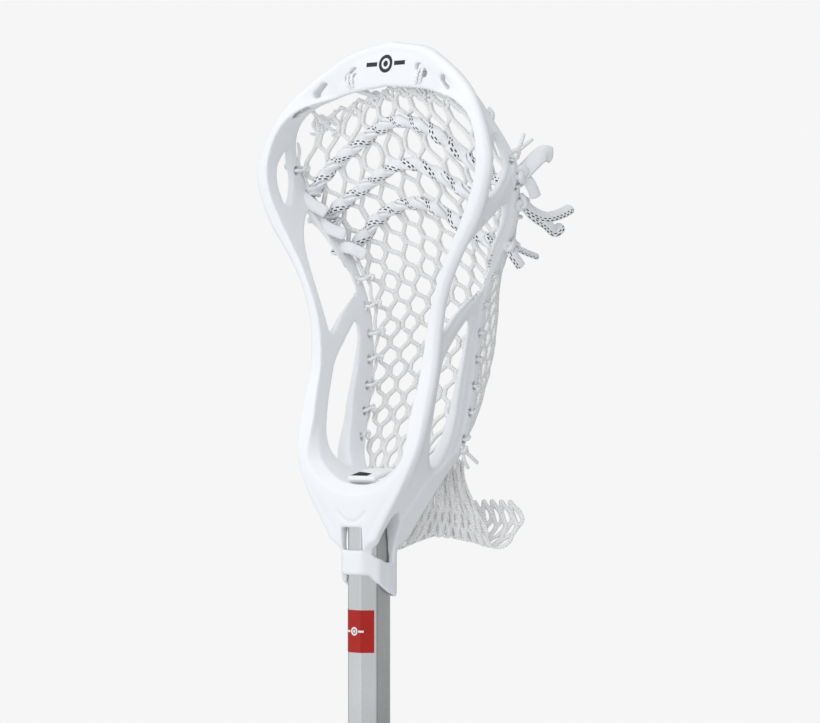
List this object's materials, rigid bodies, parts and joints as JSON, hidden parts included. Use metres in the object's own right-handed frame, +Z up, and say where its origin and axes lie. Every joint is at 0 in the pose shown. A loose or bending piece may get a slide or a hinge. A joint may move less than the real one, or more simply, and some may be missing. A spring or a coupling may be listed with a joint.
{
  "type": "lacrosse stick",
  "caption": "Lacrosse stick: an octagonal alloy shaft with a rubber butt cap, a moulded open head with windowed sidewalls, and a laced mesh pocket.",
  "frame": {"origin": "centre of the butt cap's end face, on the shaft's axis", "axes": "+Z up the shaft towards the head, +Y towards the back of the head, where the pocket hangs, +X to the right seen from the open face"},
  "size_m": [0.1886, 0.1135, 1.028],
  "materials": {
    "shaft_alloy": "satin, clear anodised",
    "label_film": "glossy printed film",
    "cap_rubber": "matt moulded rubber",
    "head_nylon": "satin moulded nylon",
    "screw_steel": "plated steel",
    "pad_foam": "closed-cell foam",
    "mesh_cord": "knitted polyester mesh",
    "shooting_lace": "flat woven lace with dark tracer threads",
    "nylon_cord": "round braided nylon cord"
  },
  "bodies": {
    "stick": {"shaft": "shaft_alloy", "shaft_label": "label_film", "head_frame": "head_nylon", "ball_stop": "pad_foam", "pocket_mesh": "mesh_cord", "mesh_tail": "mesh_cord", "top_string": "nylon_cord", "bottom_string": "nylon_cord", "shooting_string_1": "shooting_lace", "shooting_string_2": "shooting_lace", "shooting_string_3": "shooting_lace", "shooting_knot_left_1": "shooting_lace", "shooting_knot_right_1": "shooting_lace", "shooting_knot_left_2": "shooting_lace", "shooting_knot_right_2": "shooting_lace", "shooting_knot_left_3": "shooting_lace", "shooting_knot_right_3": "shooting_lace", "sidewall_string_left": "nylon_cord", "sidewall_string_right": "nylon_cord", "sidewall_knot_upper_left": "nylon_cord", "sidewall_knot_upper_right": "nylon_cord", "sidewall_knot_lower_left": "nylon_cord", "sidewall_knot_lower_right": "nylon_cord"},
    "butt_cap": {"butt_cap": "cap_rubber"},
    "head_screw": {"head_screw": "screw_steel"}
  },
  "joints": [
    {"name": "butt_cap_pull", "type": "slide", "parent": "stick", "child": "butt_cap", "axis": [0, 0, -1], "range_m": [0, 0.035]},
    {"name": "head_screw_out", "type": "slide", "parent": "stick", "child": "head_screw", "axis": [0, 1, 0], "range_m": [0, 0.02]}
  ]
}
